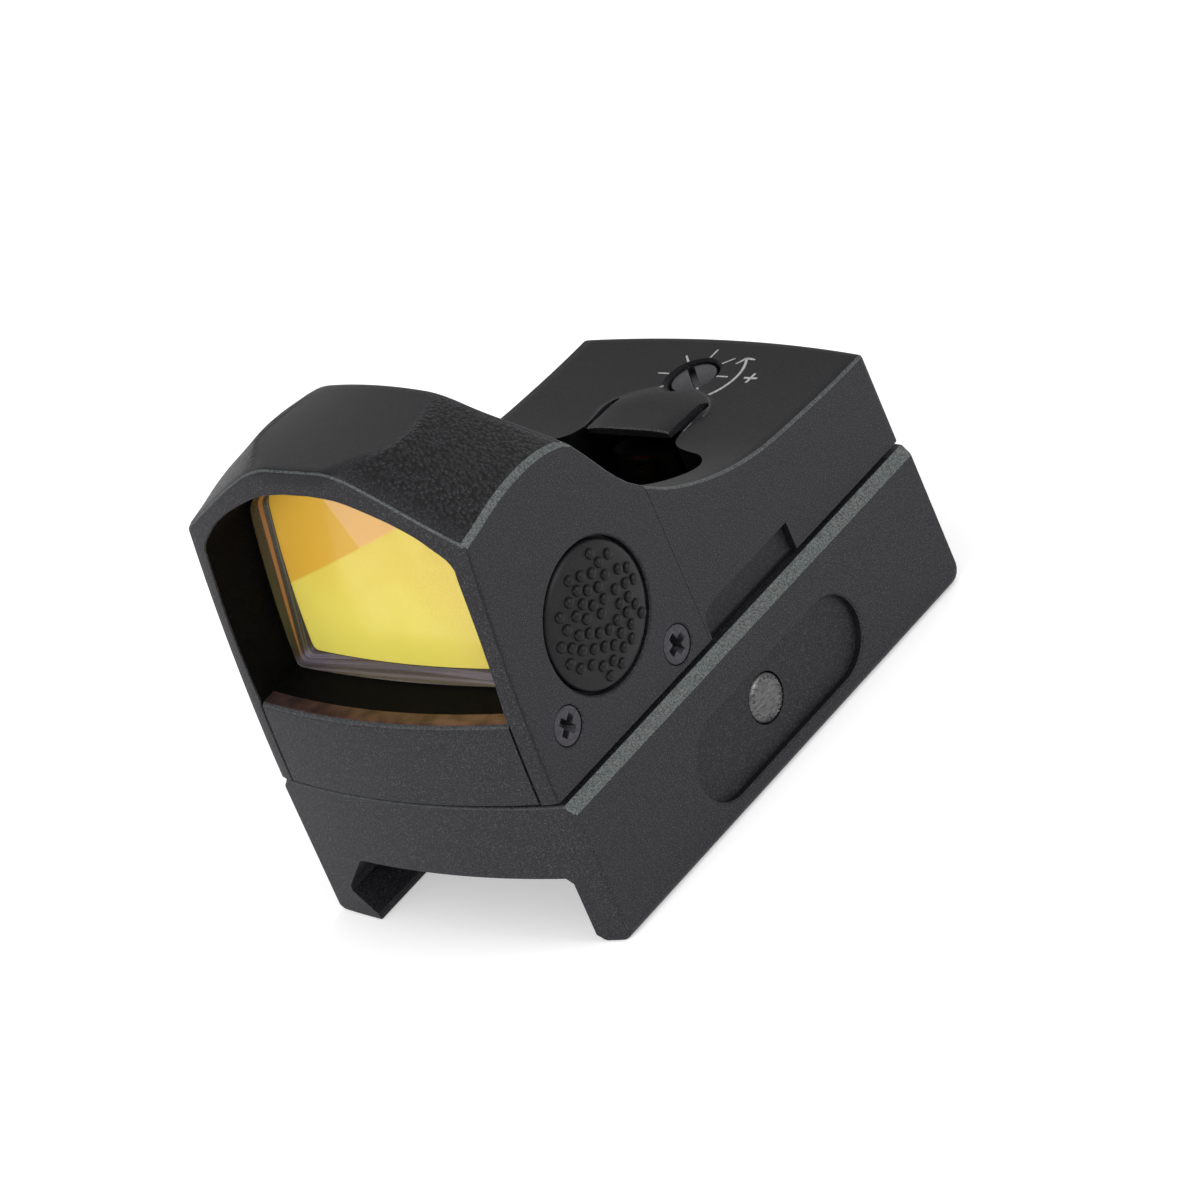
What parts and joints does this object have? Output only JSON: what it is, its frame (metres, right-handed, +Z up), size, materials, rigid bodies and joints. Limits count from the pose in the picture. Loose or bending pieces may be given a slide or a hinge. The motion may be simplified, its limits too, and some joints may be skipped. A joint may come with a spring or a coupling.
{
  "type": "red dot finder",
  "caption": "Open reflex sight with a coated window, side power button, dot adjusting screws and a rail clamp base.",
  "frame": {"origin": "middle of the bounding box at the underside of the clamp base", "axes": "+X towards the power button side, +Y from the objective end to the eye end, +Z up"},
  "size_m": [0.0296, 0.0488, 0.0412],
  "materials": {
    "housing_black": "fine satin black anodising over bead blasting",
    "base_black": "satin black anodising, edges lighter",
    "lens_glass": "amber and gold reflecting coating",
    "rubber_black": "matt moulded",
    "black_oxide_screw": "black oxide, slightly glossy",
    "steel": "plain turned steel",
    "brass": "machined",
    "plastic_black": "moulded",
    "circuit_board": "green solder mask",
    "led_resin": "clear red resin",
    "foam": "black sponge"
  },
  "bodies": {
    "housing": {"lens_hood": "housing_black", "main_body": "housing_black", "rail_mount": "base_black", "front_lens_element": "lens_glass", "rear_lens_element": "lens_glass", "lens_gasket": "rubber_black", "hood_screw_right_front": "black_oxide_screw", "hood_screw_left_front": "black_oxide_screw", "hood_screw_right_rear": "black_oxide_screw", "hood_screw_left_rear": "black_oxide_screw", "tact_switch": "plastic_black", "switch_board": "circuit_board", "switch_cover": "plastic_black", "coin_cell": "steel", "top_contact": "brass", "side_contact": "brass", "battery_pad": "foam", "base_gasket": "rubber_black", "main_board": "circuit_board", "control_chip": "plastic_black", "elevation_spring": "steel", "mount_screw_left": "steel", "mount_screw_right": "steel", "mount_screw_front": "steel", "locating_pin_left": "steel", "locating_pin_right": "steel"},
    "power_button": {"power_button": "rubber_black"},
    "switch_plunger": {"switch_plunger": "plastic_black"},
    "elevation_screw": {"elevation_screw": "black_oxide_screw"},
    "elevation_slide": {"elevation_slide": "brass", "windage_spring": "steel"},
    "windage_screw": {"windage_screw": "black_oxide_screw"},
    "windage_carrier": {"windage_carrier": "brass", "led_emitter": "led_resin", "emitter_aperture": "plastic_black"},
    "elevation_lock_screw": {"elevation_lock_screw": "black_oxide_screw"},
    "windage_lock_screw": {"windage_lock_screw": "black_oxide_screw"},
    "clamp_bolt": {"clamp_bolt": "steel"},
    "clamp_jaw": {"clamp_jaw": "base_black"}
  },
  "joints": [
    {"name": "button_press", "type": "slide", "parent": "housing", "child": "power_button", "axis": [-1, 0, 0], "range_m": [0, 0.0004], "stiffness_N_per_m": 2000, "springref_m": -0.0002},
    {"name": "plunger_press", "type": "slide", "parent": "housing", "child": "switch_plunger", "axis": [-1, 0, 0], "range_m": [0, 0.0004]},
    {"name": "elevation_turn", "type": "hinge", "parent": "housing", "child": "elevation_screw", "pos_m": [0, 0.01932, 0.02], "axis": [0, 0, 1], "range_deg": [-360, 360]},
    {"name": "elevation_travel", "type": "slide", "parent": "housing", "child": "elevation_slide", "axis": [0, 0, 1], "range_m": [-0.0004, 0.0004], "deforming": ["elevation_spring"]},
    {"name": "windage_turn", "type": "hinge", "parent": "elevation_slide", "child": "windage_screw", "pos_m": [-0.0138, 0.01372, 0.0176], "axis": [-1, 0, 0], "range_deg": [-360, 360]},
    {"name": "windage_travel", "type": "slide", "parent": "elevation_slide", "child": "windage_carrier", "axis": [1, 0, 0], "range_m": [-0.0004, 0.0004], "deforming": ["windage_spring"]},
    {"name": "elevation_lock_turn", "type": "hinge", "parent": "housing", "child": "elevation_lock_screw", "pos_m": [0, 0.02332, 0.0174], "axis": [0, 1, 0], "range_deg": [0, 360]},
    {"name": "windage_lock_turn", "type": "hinge", "parent": "housing", "child": "windage_lock_screw", "pos_m": [-0.006, 0.02332, 0.0174], "axis": [0, 1, 0], "range_deg": [0, 360]},
    {"name": "clamp_turn", "type": "hinge", "parent": "housing", "child": "clamp_bolt", "pos_m": [-0.0146, 0.00022, 0.0056], "axis": [-1, 0, 0], "range_deg": [0, 670]},
    {"name": "jaw_travel", "type": "slide", "parent": "housing", "child": "clamp_jaw", "axis": [1, 0, 0], "range_m": [0, 0.0013]}
  ],
  "couplings": [
    {"joint": "plunger_press", "follows": "button_press", "ratio": 1},
    {"joint": "elevation_turn", "follows": "elevation_travel", "rad_per_m": -15708},
    {"joint": "windage_turn", "follows": "windage_travel", "rad_per_m": 15708},
    {"joint": "clamp_turn", "follows": "jaw_travel", "rad_per_m": 8975.9}
  ]
}
